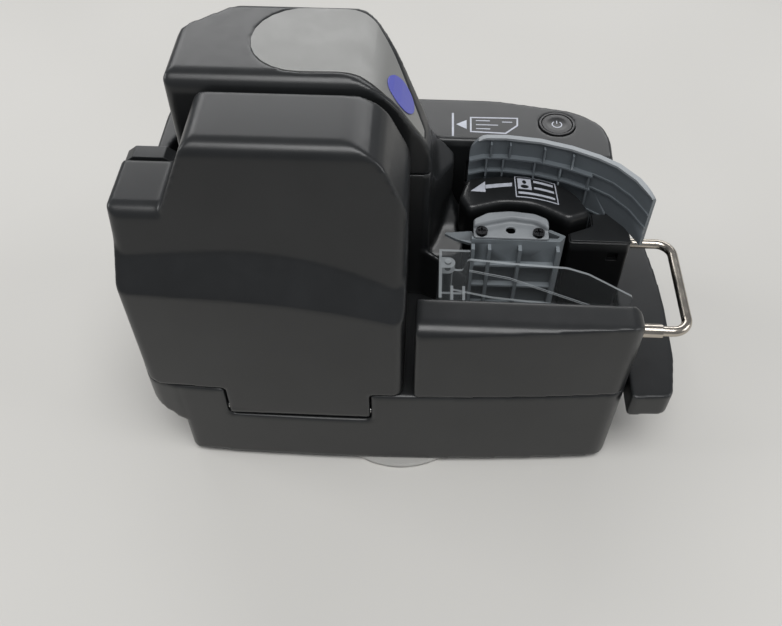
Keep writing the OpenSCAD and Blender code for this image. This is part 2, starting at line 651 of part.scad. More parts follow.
module exit_flag() color(clear) translate([flag_x, flag_y, 0]) rotate([0, 0, flag_tilt]) {
    translate([0, 0, ear_low - 1]) cylinder(r = flag_pin_r, h = ear_high + ear_t + 2 - ear_low);
    translate([0, 0, ear_low + ear_t + 0.3]) cylinder(r = flag_hub_r, h = ear_high - ear_low - ear_t - 0.6);
    translate([0, flag_t / 2, 0]) rotate([90, 0, 0]) linear_extrude(flag_t) polygon(rounded(flag_outline));
    translate([0, -flag_t / 2 + 0.1, 0]) rotate([90, 0, 0]) linear_extrude(0.6) polygon(rounded(flag_rib));
}
flag_outline = [[0, ear_high - 14, 0], [22, 80, 6], [70, 78, 4], [86.7, 78, 3], [86.6, 88.6, 3],
    [64, 101.4, 10], [54, 104.4, 10], [30, 104.4, 10], [9, 105.2, 2], [7, ear_high - 0.6, 2],
    [0, ear_high - 0.6, 0]];
flag_rib = [[73, 78.4, 0], [73, 79.4, 0], [50.8, 87.7, 10], [28.5, 95.9, 10], [10, 98.9, 0], [10, 98, 0],
    [28.5, 94.9, 10], [50.8, 86.7, 10]];

// Wire stop and its bushes
sleeve_r = wire_r + 0.8;
wire_axis_r = wire_bend + wire_r;
front_leg_x = 66;
back_leg_x = 88;
leg_bore_x = 83.5;
sleeve_right = wire_right - wire_axis_r - 4.7;
module wire_bushes() color(steel) {
    difference() {
        x_rod(base_half_w - 14.5, sleeve_right, wire_front, wire_z, sleeve_r);
        x_rod(0, big, wire_front, wire_z, wire_r + run_gap);
    }
    difference() {
        x_rod(92, 106.2, wire_back, wire_z, sleeve_r);
        x_rod(0, big, wire_back, wire_z, wire_r + run_gap);
    }
}
module x_rod(x0, x1, y, z, r) translate([x0, y, z]) rotate([0, 90, 0]) cylinder(r = r, h = x1 - x0);
module wire_stop() color(steel) {
    bend_x = wire_right - wire_axis_r;
    x_rod(front_leg_x, bend_x, wire_front, wire_z, wire_r);
    x_rod(back_leg_x, bend_x, wire_back, wire_z, wire_r);
    translate([wire_right, wire_back - wire_axis_r, wire_z]) rotate([90, 0, 0])
        cylinder(r = wire_r, h = wire_back - wire_front - 2 * wire_axis_r);
    translate([bend_x, wire_back - wire_axis_r, wire_z]) wire_corner();
    translate([bend_x, wire_front + wire_axis_r, wire_z]) rotate([0, 0, -90]) wire_corner();
}
module wire_corner() rotate_extrude(angle = 90) translate([wire_axis_r, 0]) circle(r = wire_r);

// Front cover
parting_z = floor_z + parting_gap;
face_slope = (ridge_y - upper_foot_y) / (cover_z - upper_foot_z);
block_z = 100;
tab_back = -22;
shoulder_dy = upper_foot_y + front_y;
shoulder_angle = atan(shoulder_dy / (upper_foot_z - crease_z));
function upper_face(z) = upper_foot_y + (z - upper_foot_z) * face_slope;
function crease_at(x) = crease_z - pow(max(0, x + 75), 2) / 450;
function open_back(d) = cover_back + (d > 0 ? d + 1 : 0);
function cover_plan(d) = concat(bowed(-cover_left, cover_right, 6, 4, 5),
    [[cover_right, open_back(d), 0], [-tab_right, open_back(d), 0], [-tab_right, tab_back, 0],
     [-cover_left, tab_back, 2]]);
cover_slant_low = [cover_right, cover_z - 27];
cover_slant_high = [cover_right - 13, cover_z];
function shoulder_line(d) = concat(
    [for (k = [0:14]) let (x = -130 + 10 * k)
        [x, front_at(x) * cos(shoulder_angle) - crease_at(x) * sin(shoulder_angle) + d]],
    [[10, big], [-130, big]]);
low_top = upper_foot_z + 3;
// Front view of the lower part; the cavity's, for d above 0, stays open below past its left corner
function low_view(d) = concat([[-cover_left, parting_z, 8]],
    d > 0 ? [[-cover_left + 14, parting_z, 0], [-cover_left + 14, parting_z - 3 * d, 0]] : [],
    [[cover_right, parting_z - 3 * d, d > 0 ? 0 : 2], with_radius(cover_slant_low, 20),
     with_radius(cover_slant_high, 0), [-cover_left, cover_z, 0]]);
block_view = [[-tab_right, block_z, 0], [cover_right, block_z, 0], with_radius(cover_slant_low, 20),
    with_radius(cover_slant_high, 20), [-tab_right + 12, cover_z, 6], [-tab_right, tab_z, 0]];
function block_side(d) = [[upper_face(block_z), block_z, 0], [open_back(d), block_z, 0],
    [open_back(d), cover_z, 1.5], [ridge_y, cover_z, 7]];
tab_side = [[upper_face(block_z), block_z, 0], [tab_back, block_z, 0], [tab_back, tab_z, 1.5],
    [upper_face(tab_z), tab_z, 6.5]];
tab_view = [[-cover_left, block_z, 0], [-tab_right + 4, block_z, 0], [-tab_right + 4, tab_z, 0],
    [-cover_left, tab_z, 2.5]];

// The slanted plan of the upper faces: upright edges rounded along the slope
module sloped_plan(x0, x1, d) {
    a = atan(face_slope);
    y0 = upper_foot_y * cos(a) - upper_foot_z * sin(a);
    rotate([-a, 0, 0]) linear_extrude(big)
        polygon(rounded(inset([[x0, y0, 5], [x1, y0, 5], [x1, 100, 0], [x0, 100, 0]], d)));
}
module cover_low(d) intersection() {
    prism(parting_z - 2 * d, low_top - d, inset(cover_plan(d), d));
    along_y(-big, big, inset(low_view(d), d));
    rotate([-shoulder_angle, 0, 0]) translate([0, 0, -big]) linear_extrude(2 * big) polygon(shoulder_line(d));
}
module cover_block(d) intersection() {
    along_x(-big, big, inset(block_side(d), d));
    along_y(-big, big, inset(block_view, d));
    sloped_plan(-tab_right - 20, cover_right, d);
}
module cover_tab(d) intersection() {
    along_x(-big, big, inset(tab_side, d));
    along_y(-big, big, inset(tab_view, d));
    sloped_plan(-cover_left, 50, d);
}
module cover_solid(d) {
    cover_low(d);
    cover_block(d);
    cover_tab(d);
}
module tongue() {
    x0 = -tongue_left;
    x1 = -tongue_right;
    intersection() {
        difference() {
            prism(hinge_z, parting_z + 4, cover_plan(0));
            translate([0, 0, -1]) prism(hinge_z, parting_z + 6, inset(cover_plan(0), wall));
        }
        box(x0, x1, -front_y - 1, -front_y + 6, hinge_z, parting_z + 4);
    }
    x_rod(x0, x1, hinge_y, hinge_z, hinge_r);
}
module front_cover() color(black) difference() {
    union() {
        difference() {
            cover_solid(0);
            cover_solid(wall);
        }
        tongue();
    }
    x_rod(-big, big, hinge_y, hinge_z, pin_r + run_gap);
}
module front_liner() color([0.14, 0.14, 0.14]) difference() {
    intersection() {
        cover_solid(wall);
        box(-tab_right + wall, cover_right, cover_back - 2, cover_back, floor_z + 1, big);
    }
    for (p = [front_pinch, exit_pinch])
        box(p[0] - pinch_r - gap, p[0] + pinch_r + gap, -big, 0, pinch_low - 2.5, pinch_high + 2.5);
    box(cover_sensor_x - sensor_w / 2 - 0.2, cover_sensor_x + sensor_w / 2 + 0.2, -big, 0,
        sensor_z, sensor_z + sensor_h);
}
module front_hinge_pin() color(steel)
    x_rod(pin_left, pin_right, hinge_y, hinge_z, pin_r);
// Frames that hold the front cover's pinch rollers on their axles
frame_low = pinch_low - 2.3;
frame_high = pinch_high + 2.3;
frame_w = pinch_r + 3.5;
module cover_axles() color(steel) for (p = [front_pinch, exit_pinch]) {
    for (z = [frame_low, frame_high - 2]) {
        box(p[0] - 5, p[0] + 5, p[1] - 5, cover_back - 2, z, z + 2);
        box(p[0] - frame_w, p[0] + frame_w, cover_back - 4, cover_back - 2, z, z + 2);
    }
    for (x = [p[0] - frame_w, p[0] + frame_w - 2])
        box(x, x + 2, cover_back - 4, cover_back - 2, frame_low, frame_high);
    rod(p[0], p[1], frame_low, frame_high, axle_r);
}

// Image sensors that face each other across the front track
sensor_w = 14;
sensor_h = 54;
sensor_z = floor_z + 4;
sensor_x = -38;
cover_sensor_x = -50;
module sensor_shell(x, y0, y1) box(x - sensor_w / 2, x + sensor_w / 2, y0, y1, sensor_z, sensor_z + sensor_h);
module core_image_sensor() color([0.12, 0.12, 0.12]) {
    sensor_shell(sensor_x, tower_front + 1.8, tower_front + 13);
    box(sensor_x - 3, sensor_x + 3, tower_front + 6, tower_front + 12, floor_z, sensor_z);
}
module core_sensor_glass() color(clear) sensor_shell(sensor_x, tower_front + 0.2, tower_front + 1.8);
module cover_image_sensor() color([0.12, 0.12, 0.12])
    box(cover_sensor_x - sensor_w / 2 - 3, cover_sensor_x + sensor_w / 2 + 3, cover_back - 14, cover_back - 2,
        sensor_z - 2, sensor_z + sensor_h + 2);
module cover_sensor_glass() color(clear) sensor_shell(cover_sensor_x, cover_back - 2, cover_back - 0.2);

// Centre cover on its rear hinge
lid_z = rim_z + gap;
lid_pin_r = 1.2;
lid_hinge_y = tower_rear - 2.6;
lid_hinge_z = lid_z + 2.6;
lid_hinge_r = 2.6;
lug_x = [-59, -43];
lug_w = 6;
hinge_left = -68;
hinge_right = -34;
inlay_plan = [[-66.8, 1.2, 22], [-20, 2.2, 14], [-9, tower_front + 2.7, 6],
    [tower_right - 4, tower_front + 2.7, 1.5], [tower_right - 4, 3, 2], [-8, 32, 30], [-17.5, 48, 12],
    [-66.8, 48.6, 23]];
module centre_cover() color(black) difference() {
    union() {
        difference() {
            tower_solid(lid_z, cover_z + 1, 0);
            translate([0, 0, -1]) tower_solid(lid_z, cover_z + 2, wall + inlay_t);
            difference() {
                box(-big, big, lid_hinge_y, big, 0, lid_hinge_z);
                x_rod(-big, big, lid_hinge_y, lid_hinge_z, lid_hinge_r);
            }
        }
        x_rod(hinge_left, hinge_right, lid_hinge_y, lid_hinge_z, lid_hinge_r);
    }
    for (x = lug_x)
        box(x - lug_w / 2 - gap, x + lug_w / 2 + gap, lid_hinge_y - lid_hinge_r - 1, big,
            0, lid_hinge_z + lid_hinge_r + gap);
    x_rod(-big, big, lid_hinge_y, lid_hinge_z, lid_pin_r + run_gap);
    difference() {
        prism(lid_z + 4, big, inset(inlay_plan, -0.3));
        tower_solid(0, big, inlay_t);
    }
}
module inlay_panel() color([0.62, 0.62, 0.60]) difference() {
    intersection() {
        prism(lid_z + 4, big, inlay_plan);
        tower_solid(0, big, 0.15);
    }
    tower_solid(0, big, inlay_t);
}
// Thin disc that follows the cover's slanted side
slant = unit(slant_high - slant_low);
badge_at = slant_low + slant * 24.7;
badge_y = 7.7;
module round_badge() color([0.30, 0.31, 0.65]) difference() {
    intersection() {
        translate([badge_at[0], badge_y, badge_at[1]]) rotate([0, 90 - atan2(-slant[0], slant[1]), 0])
            translate([0, 0, -4]) cylinder(r = badge_r, h = 8, $fn = 72);
        tower_solid(0, big, -0.4);
    }
    tower_solid(0, big, 0);
}
module centre_hinge_pin() color(steel)
    x_rod(hinge_left + 1, hinge_right - 1, lid_hinge_y, lid_hinge_z, lid_pin_r);
module hinge_lugs() difference() {
    for (x = lug_x) {
        x_rod(x - lug_w / 2, x + lug_w / 2, lid_hinge_y, lid_hinge_z, lid_hinge_r - 0.1);
        box(x - lug_w / 2, x + lug_w / 2, tower_rear - wall, lid_hinge_y + lid_hinge_r - 0.1,
            rim_z - 6, lid_hinge_z);
    }
    x_rod(-big, big, lid_hinge_y, lid_hinge_z, lid_pin_r);
}

// Latch behind the tab
latch_left = -cover_left + 0.5;
latch_right = -tab_right - 1;
latch_front = tab_back + 0.7;
latch_rear = -14;
latch_low = tab_z - 12;
latch_travel = 3;
module latch_core(d, z0, z1) box(latch_left + d, latch_right - d, latch_front + d, latch_rear - d, z0, z1);
module latch_housing() color(black) {
    latch_core(0, floor_z, latch_low - latch_travel - 0.5);
    latch_core(2, latch_low - latch_travel - 0.5, latch_low + 5);
}
module cover_latch() color(black) difference() {
    along_y(latch_front, latch_rear, [[latch_left, latch_low, 0], [latch_right, latch_low, 0],
        [latch_right, tab_z - 3, 1], [latch_right - 4, tab_z, 1], [latch_left + 4, tab_z, 1],
        [latch_left, tab_z - 3, 1]]);
    latch_core(1.7, 0, tab_z - 2.2);
}

// Drive under the floor
module chassis_plate() color(steel) difference() {
    union() {
        box(-88, 52, -12, chassis_rear, chassis_z, chassis_z + chassis_t);
        for (p = [[-84, -8], [46, -6], [-84, chassis_rear - 6], [24, chassis_rear - 5]])
            rod(p[0], p[1], chassis_z, ceiling_z, 3);
    }
    for (s = shaft_at) rod(s[0], s[1], 0, ceiling_z, bush_r);
    for (p = post_at) rod(p[0], p[1], 0, big, post_r + gap);
    rod(motor_shaft[0], motor_shaft[1], 0, ceiling_z, motor_boss_r + 0.2);
}
module bush(p, z0, z1) difference() {
    rod(p[0], p[1], z0, z1, bush_r);
    rod(p[0], p[1], z0 - 1, z1 + 1, shaft_r + run_gap);
}
module shaft_bushes() color([0.72, 0.6, 0.36]) for (s = shaft_at) {
    bush(s, chassis_z, chassis_z + chassis_t + 1);
    bush(s, ceiling_z, floor_z);
    if (s != feed_shaft) bush(s, shaft_top, shaft_top + 2);
}
module motor() color([0.2, 0.2, 0.2]) translate([motor_shaft[0], motor_shaft[1], 0]) difference() {
    union() {
        translate([-motor_w / 2, -motor_w / 2, chassis_z - motor_h]) cube([motor_w, motor_w, motor_h]);
        translate([0, 0, chassis_z]) cylinder(r = motor_boss_r, h = chassis_t);
    }
    cylinder(r = shaft_r + run_gap, h = big);
}
module feed_motor() color([0.2, 0.2, 0.2]) difference() {
    rod(feed_shaft[0], feed_shaft[1], chassis_z - 22, chassis_z, 12);
    rod(feed_shaft[0], feed_shaft[1], chassis_z - 15, chassis_z + 1, shaft_r + run_gap);
}
module belt_outline(r) hull()
    for (s = [motor_shaft, rear_shaft, front_shaft, exit_shaft]) translate(s) circle(r = r, $fn = 64);
module drive_belt() color([0.08, 0.08, 0.08])
    translate([0, 0, belt_z + 0.5]) linear_extrude(belt_w - 1) difference() {
        belt_outline(pulley_r + 1.3);
        belt_outline(pulley_r + 0.08);
    }
module motor_pulley() color(steel) {
    rod(motor_shaft[0], motor_shaft[1], chassis_z - 10, belt_z + belt_w + 1, shaft_r);
    rod(motor_shaft[0], motor_shaft[1], belt_z, belt_z + belt_w, pulley_r);
}
module driven_roller(p, z0, z1) {
    rod(p[0], p[1], z0, z1, shaft_r);
    for (z = [tyre_low, tyre_high]) rod(p[0], p[1], z, z + tyre_h, drive_r);
}
module belt_roller(p) {
    driven_roller(p, chassis_z + 0.3, shaft_top + 3);
    rod(p[0], p[1], belt_z, belt_z + belt_w, pulley_r);
}
module feed_roller() color([0.15, 0.15, 0.15]) driven_roller(feed_shaft, chassis_z - 14, shaft_top);
module rear_roller() color([0.15, 0.15, 0.15]) belt_roller(rear_shaft);
module front_roller() color([0.15, 0.15, 0.15]) belt_roller(front_shaft);
module exit_roller() color([0.15, 0.15, 0.15]) belt_roller(exit_shaft);
module pinch_roller(p) color([0.2, 0.2, 0.2]) difference() {
    rod(p[0], p[1], pinch_low, pinch_high, pinch_r);
    rod(p[0], p[1], pinch_low - 1, pinch_high + 1, axle_r + run_gap);
}
module rear_pinch_roller() pinch_roller(rear_pinch);
module front_pinch_roller() pinch_roller(front_pinch);
module exit_pinch_roller() pinch_roller(exit_pinch);
module pinch_axles() color(steel) {
    rod(rear_pinch[0], rear_pinch[1], floor_z, pinch_high + 4, axle_r);
    rod(rear_pinch[0], rear_pinch[1], floor_z, pinch_low - nip, axle_r + 0.8);
}

// Electronics and reading parts
board_z = plate_z + 9;
board_t = 1.6;
board_top = board_z + board_t;
board_left = -12;
board_right = base_half_w - 8.5;
board_posts = [[board_left + 4, -40], [board_right - 6, -40], [board_right - 6, 48], [board_left + 4, 48]];
usb_w = 12;
usb_h = 11;
jack_h = 11;
jack_r = 4;
module circuit_board() color([0.06, 0.25, 0.14]) {
    box(board_left, board_right, -45, 53, board_z, board_top);
    box(usb_x - 10, jack_x + 10, 53, rear_y - 5.2, board_z, board_top);
}
module board_parts() color([0.08, 0.08, 0.08]) {
    box(0, 22, -30, -8, board_top, board_top + 3);
    box(34, 50, -34, -18, board_top, board_top + 2.4);
    for (x = [60, 70, 80]) rod(x, -20, board_top, board_top + 12, 4);
    box(60, 86, 4, 12, board_top, board_top + 8);
}
module usb_socket() color(steel) difference() {
    box(usb_x - usb_w / 2, usb_x + usb_w / 2, rear_y - 15.2, rear_y - 0.5, board_top, board_top + usb_h);
    box(usb_x - usb_w / 2 + 1.5, usb_x + usb_w / 2 - 1.5, rear_y - 11.2, rear_y + 1,
        board_top + 1.5, board_top + usb_h - 1.5);
}
module power_socket() color([0.07, 0.07, 0.07]) translate([jack_x, 0, board_top + jack_h / 2]) {
    difference() {
        union() {
            box(-5.5, 5.5, rear_y - 15.2, rear_y - wall - 0.4, -jack_h / 2, jack_h / 2);
            translate([0, rear_y - 0.5, 0]) rotate([90, 0, 0]) cylinder(r = jack_r, h = wall + 2);
        }
        translate([0, rear_y + 1, 0]) rotate([90, 0, 0]) cylinder(r = 2.75, h = 11);
    }
    translate([0, rear_y - 1.5, 0]) rotate([90, 0, 0]) cylinder(r = 1, h = 8.5);
}
head_x = -60;
head_w = 12;
head_z = floor_z + 8;
head_h = 14;
module magnetic_head() color(steel) {
    box(head_x - head_w / 2, head_x + head_w / 2, housing_in + 0.2, housing_in + wall + 0.5,
        head_z, head_z + head_h);
    box(head_x - head_w / 2 - 2, head_x + head_w / 2 + 2, housing_in + wall + 0.5, housing_in + wall + 10,
        floor_z, head_z + head_h + 2);
}
cart_x = -61;
cart_y = 31.5;
cart_w = 22;
cart_d = 26;
module cart_box(d, z0, z1) box(cart_x - cart_w / 2 - d, cart_x + cart_w / 2 + d,
    cart_y - cart_d / 2 - d, cart_y + cart_d / 2 + d, z0, z1);
module ink_cartridge() color([0.13, 0.13, 0.14]) {
    cart_box(0, floor_z + 4, shaft_top + 8);
    box(cart_x - 6, cart_x + 6, cart_y + cart_d / 2, cart_y + cart_d / 2 + 2, floor_z + 10, floor_z + 30);
}
module cartridge_holder() color(grey) difference() {
    cart_box(2, floor_z, floor_z + 34);
    cart_box(0.3, floor_z + 4, big);
    box(cart_x - 8, cart_x + 8, cart_y, big, floor_z + 8, big);
}

base_casing();
bottom_plate();
rubber_feet();
grip_pad();
casing_screws();
side_tray();
rear_housing();
left_end_guide();
core_housing();
turn_guide();
core_top_plate();
exit_pocket_housing();
card_guide();
tail_block();
hopper_plate();
pocket_divider();
divider_cap();
cap_screws();
button_bezel();
exit_guide_block();
wire_bushes();
latch_housing();
chassis_plate();
shaft_bushes();
motor();
feed_motor();
drive_belt();
circuit_board();
board_parts();
usb_socket();
power_socket();
core_image_sensor();
core_sensor_glass();
magnetic_head();
ink_cartridge();
cartridge_holder();
pinch_axles();
front_cover();
front_liner();
cover_image_sensor();
cover_sensor_glass();
cover_axles();
front_hinge_pin();
centre_cover();
inlay_panel();
round_badge();
centre_hinge_pin();
cover_latch();
power_button();
wire_stop();
exit_flag();
motor_pulley();
feed_roller();
rear_roller();
front_roller();
exit_roller();
rear_pinch_roller();
front_pinch_roller();
exit_pinch_roller();
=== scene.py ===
"""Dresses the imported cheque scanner: its finishes, printed marks, stage and camera."""
import math

import bmesh
import bpy
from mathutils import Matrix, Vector


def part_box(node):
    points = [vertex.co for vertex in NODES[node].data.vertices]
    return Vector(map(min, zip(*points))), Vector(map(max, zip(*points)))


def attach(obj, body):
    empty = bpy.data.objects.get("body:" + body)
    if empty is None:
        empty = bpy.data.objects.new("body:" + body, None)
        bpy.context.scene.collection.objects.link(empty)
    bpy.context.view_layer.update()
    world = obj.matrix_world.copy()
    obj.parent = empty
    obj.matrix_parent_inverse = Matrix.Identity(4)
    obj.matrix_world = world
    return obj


bl_info = {
    "name": "Cheque scanner",
    "version": (1, 0, 0),
    "blender": (4, 5, 0),
    "location": "3D View > Sidebar > Scanner",
    "description": "Finishes, printed marks, floor, lights and camera for a desktop cheque scanner",
    "category": "Object",
}

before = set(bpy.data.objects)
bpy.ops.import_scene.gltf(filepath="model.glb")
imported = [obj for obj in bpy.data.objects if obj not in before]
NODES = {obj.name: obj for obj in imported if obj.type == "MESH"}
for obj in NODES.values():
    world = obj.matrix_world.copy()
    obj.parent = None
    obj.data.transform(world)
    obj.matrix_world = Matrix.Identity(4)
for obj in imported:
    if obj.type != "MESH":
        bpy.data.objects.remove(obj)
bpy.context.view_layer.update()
MM = 0.001

# Sizes of the softening, of the blends between colours and of the printed marks
BASE_MESH = 1.2 * MM
SHELL_MESH = 1.0 * MM
CAP_MESH = 0.5 * MM
CASING_EDGE = 0.3 * MM
SHEET_EDGE = 0.2 * MM
CLEAR_EDGE = 0.15 * MM
INLAY_EDGE = 0.12 * MM
WELD_DISTANCE = 0.002 * MM
FLAT_ANGLE = math.radians(0.6)
EDGE_ANGLE = math.radians(28)
# Painted highlight along the hopper plate's top edge: its band height and its blend
PAINTED_HIGHLIGHT_HEIGHT = 1.3 * MM
PAINTED_HIGHLIGHT_BLEND = 0.2 * MM
# Painted shade on recessed parts: how far under a part's top it starts, and its blend
PAINTED_SHADE_DROP = 1.5 * MM
PAINTED_SHADE_BLEND = 5 * MM
MARK_THICKNESS = 0.06 * MM
BUTTON_MARK_DROP = 0.03 * MM


# Settings
def colour(name, description, default):
    return bpy.props.FloatVectorProperty(
        name=name, description=description, default=default, size=3, min=0, max=1, subtype="COLOR")


def length(name, description, default):
    return bpy.props.FloatProperty(
        name=name, description=description, default=default, min=0, unit="LENGTH")


def angle(name, description, degrees):
    return bpy.props.FloatProperty(
        name=name, description=description, default=math.radians(degrees), unit="ROTATION")


def amount(name, description, default):
    return bpy.props.FloatProperty(
        name=name, description=description, default=default, min=0, subtype="FACTOR")


class ScannerFinish(bpy.types.PropertyGroup):
    """Colours and surface of the scanner's materials"""
    casing: colour("Casing", "Satin black of the casings", (0.013, 0.0138, 0.0145))
    casing_rough: amount("Casing roughness", "Roughness of the casings", 0.33)
    slate: colour("Hopper plate", "Slate grey of the hopper plate", (0.066, 0.075, 0.082))
    # The rim colour is a painted highlight, standing in for the light caught by the hopper plate's top edge
    rim: colour("Rim", "Light rim along the hopper plate's top", (0.30, 0.32, 0.335))
    blue_grey: colour("Divider", "Blue-grey of the divider", (0.100, 0.112, 0.120))
    light_grey: colour("Cap", "Light grey of the divider's cap", (0.235, 0.250, 0.262))
    silver: colour("Inlay", "Silver paint of the inlay panel", (0.215, 0.215, 0.206))
    badge: colour("Badge", "Blue of the round badge", (0.10, 0.11, 0.46))
    print_ink: colour("Print", "Ink of the printed marks", (0.52, 0.54, 0.60))
    nickel: colour("Wire", "Nickel plating of the wire stop", (0.52, 0.475, 0.415))
    clear: colour("Clear parts", "Tint of the clear flag and guide block", (0.30, 0.32, 0.33))
    edge_radius: length("Edge rounding", "Rounding of the plain parts' edges", 0.25 * MM)


class ScannerStage(bpy.types.PropertyGroup):
    """Floor, lights and camera"""
    floor: colour("Floor", "Colour of the floor", (0.590, 0.578, 0.550))
    lens: bpy.props.FloatProperty(name="Lens", description="Focal length in millimetres", default=39.59)
    camera_at: bpy.props.FloatVectorProperty(
        name="Camera", description="Place of the camera", default=(0.0065, -0.29211, 0.392), size=3,
        unit="LENGTH")
    camera_down: angle("Tilt", "Angle of the camera above straight down", 39.4)
    camera_turn: angle("Turn", "Angle of the camera about the vertical", 2.6)
    sky: amount("Sky", "Strength of the even light from all round", 0.26)


# Materials
class Nodes:
    """Short forms for a material's nodes"""

    def __init__(self, name):
        self.material = bpy.data.materials.new(name)
        self.material.use_nodes = True
        self.tree = self.material.node_tree
        self.tree.nodes.clear()
        self.out = self.tree.nodes.new("ShaderNodeOutputMaterial")
        self.shader = self.tree.nodes.new("ShaderNodeBsdfPrincipled")
        self.join(self.shader.outputs[0], self.out.inputs["Surface"])

    def join(self, a, b):
        self.tree.links.new(a, b)

    def feed(self, source, name):
        """Joins a source to an input of the shader"""
        self.join(source, self.shader.inputs[name])

    def part(self, source, axis):
        """One axis of a vector"""
        split = self.put("ShaderNodeSeparateXYZ")
        self.join(source, split.inputs[0])
        return split.outputs[axis]

    def put(self, kind, **values):
        node = self.tree.nodes.new(kind)
        for key, value in values.items():
            if key in node.inputs:
                node.inputs[key].default_value = value
            else:
                setattr(node, key, value)
        return node

    def place(self):
        return self.put("ShaderNodeTexCoord").outputs["Object"]

    def noise(self, scale, detail, stretch=None):
        where = self.place()
        if stretch:
            turn = self.put("ShaderNodeMapping")
            turn.inputs["Scale"].default_value = stretch
            self.join(where, turn.inputs["Vector"])
            where = turn.outputs[0]
        texture = self.put("ShaderNodeTexNoise", Scale=scale, Detail=detail, Roughness=0.55)
        self.join(where, texture.inputs["Vector"])
        return texture.outputs["Fac"]

    def ramp(self, source, low, high, a=0.35, b=0.65):
        ramp = self.put("ShaderNodeMapRange")
        ramp.inputs["From Min"].default_value = a
        ramp.inputs["From Max"].default_value = b
        ramp.inputs["To Min"].default_value = low
        ramp.inputs["To Max"].default_value = high
        self.join(source, ramp.inputs["Value"])
        return ramp.outputs["Result"]

    def mix(self, factor, a, b):
        mix = self.put("ShaderNodeMix", data_type="RGBA")
        self.join(factor, mix.inputs["Factor"])
        for value, socket in ((a, mix.inputs[6]), (b, mix.inputs[7])):
            if isinstance(value, bpy.types.NodeSocket):
                self.join(value, socket)
            else:
                socket.default_value = value
        return mix.outputs[2]

    def bump(self, source, depth, strength):
        bump = self.put("ShaderNodeBump", Distance=depth, Strength=strength)
        self.join(source, bump.inputs["Height"])
        self.join(bump.outputs[0], self.shader.inputs["Normal"])

    def set(self, **values):
        for key, value in values.items():
            self.shader.inputs[key.replace("_", " ")].default_value = value
        return self.material


def shade(rgb, factor):
    """A colour made darker or lighter, with its alpha"""
    return (*(min(1.0, c * factor) for c in rgb), 1.0)


def moulded(name, rgb, rough, grain=0.35, edge_wear_and_highlight=1.7, rim=None, painted_shade_top=None):
    """Moulded plastic: fine eroded grain, faint clouding, edges lighter, partly rubbed by hands and partly a
    painted highlight

    A rim is a second colour higher than a given height, a painted highlight along a lit top edge. Lower
    down, under a given height, the colour is painted shade: darker and less glossy, where a part sits in
    shade.
    """
    n = Nodes(name)
    body = n.mix(n.ramp(n.noise(35, 3), 0, 1), shade(rgb, 0.88), shade(rgb, 1.12))
    # Lighter convex edges: partly real rubbing, partly a painted edge highlight
    edges = n.ramp(n.put("ShaderNodeNewGeometry").outputs["Pointiness"], 0, 1, 0.515, 0.58)
    body = n.mix(edges, body, shade(rgb, edge_wear_and_highlight))
    # A rim is a painted highlight: a lighter colour along the top edge, where the light catches it
    if rim:
        height, painted_highlight_rgb = rim
        in_painted_highlight = n.ramp(n.part(n.place(), "Z"), 0, 1, height, height + PAINTED_HIGHLIGHT_BLEND)
        body = n.mix(in_painted_highlight, body, shade(painted_highlight_rgb, 1))
    # Painted shade: lower down the colour turns darker and less glossy, standing in for the shade inside a
    # recess
    if painted_shade_top:
        out_of_painted_shade = n.ramp(n.part(n.place(), "Z"), 0, 1, painted_shade_top - PAINTED_SHADE_BLEND, painted_shade_top)
        body = n.mix(out_of_painted_shade, shade(rgb, 0.4), body)
        n.feed(n.ramp(out_of_painted_shade, 0.12, 0.5, 0, 1), "Specular IOR Level")
    n.feed(body, "Base Color")
    n.feed(n.ramp(n.noise(140, 4), rough - 0.015, rough + 0.02), "Roughness")
    n.bump(n.noise(2200, 2), 0.02 * MM, grain)
    return n.set()


def rubber(name, rgb):
    """Dull black rubber"""
    n = Nodes(name)
    n.feed(n.mix(n.ramp(n.noise(200, 3), 0, 1), shade(rgb, 0.85), shade(rgb, 1.3)), "Base Color")
    n.bump(n.noise(1500, 3), 0.03 * MM, 0.5)
    return n.set(Roughness=0.75, Specular_IOR_Level=0.35)


def metal(name, rgb, rough, brush=(1, 1, 1)):
    """Bare or plated metal with fine drawn lines"""
    n = Nodes(name)
    lines = n.noise(400, 3, brush)
    n.feed(n.mix(n.ramp(lines, 0, 1), shade(rgb, 0.88), shade(rgb, 1.08)), "Base Color")
    n.feed(n.ramp(n.noise(180, 2), rough - 0.04, rough + 0.06), "Roughness")
    n.bump(lines, 0.004 * MM, 0.6)
    return n.set(Metallic=1.0)


def silver_paint(name, rgb):
    """Paint with fine metal flakes"""
    n = Nodes(name)
    n.feed(n.mix(n.ramp(n.noise(6000, 1), 0, 1, 0.3, 0.7), shade(rgb, 0.93), shade(rgb, 1.07)), "Base Color")
    n.feed(n.ramp(n.noise(90, 3), 0.36, 0.44), "Roughness")
    n.bump(n.noise(1800, 2), 0.01 * MM, 0.3)
    return n.set(Metallic=0.12, Coat_Weight=0.15, Coat_Roughness=0.4)


def clear_plastic(name, rgb, face, edge):
    """Clear plastic: broad faces that turn along Y let most light through; the sheet's edges are more opaque
    and painted lighter, a painted highlight
    """
    n = Nodes(name)
    n.feed(n.ramp(n.noise(120, 3), 0.12, 0.2), "Roughness")
    n.bump(n.noise(40, 2), 0.03 * MM, 0.3)
    turned = n.put("ShaderNodeMath", operation="ABSOLUTE")
    n.join(n.part(n.put("ShaderNodeNewGeometry").outputs["True Normal"], "Y"), turned.inputs[0])
    # Edges of the sheet get a painted highlight: a lighter colour, and less see-through
    edge_with_painted_glint = n.ramp(turned.outputs[0], 1, 0, 0.5, 0.9)
    n.feed(n.ramp(edge_with_painted_glint, face, edge, 0, 1), "Alpha")
    n.feed(n.mix(edge_with_painted_glint, shade(rgb, 0.8), shade(rgb, 1.6)), "Base Color")
    return n.set(IOR=1.49)


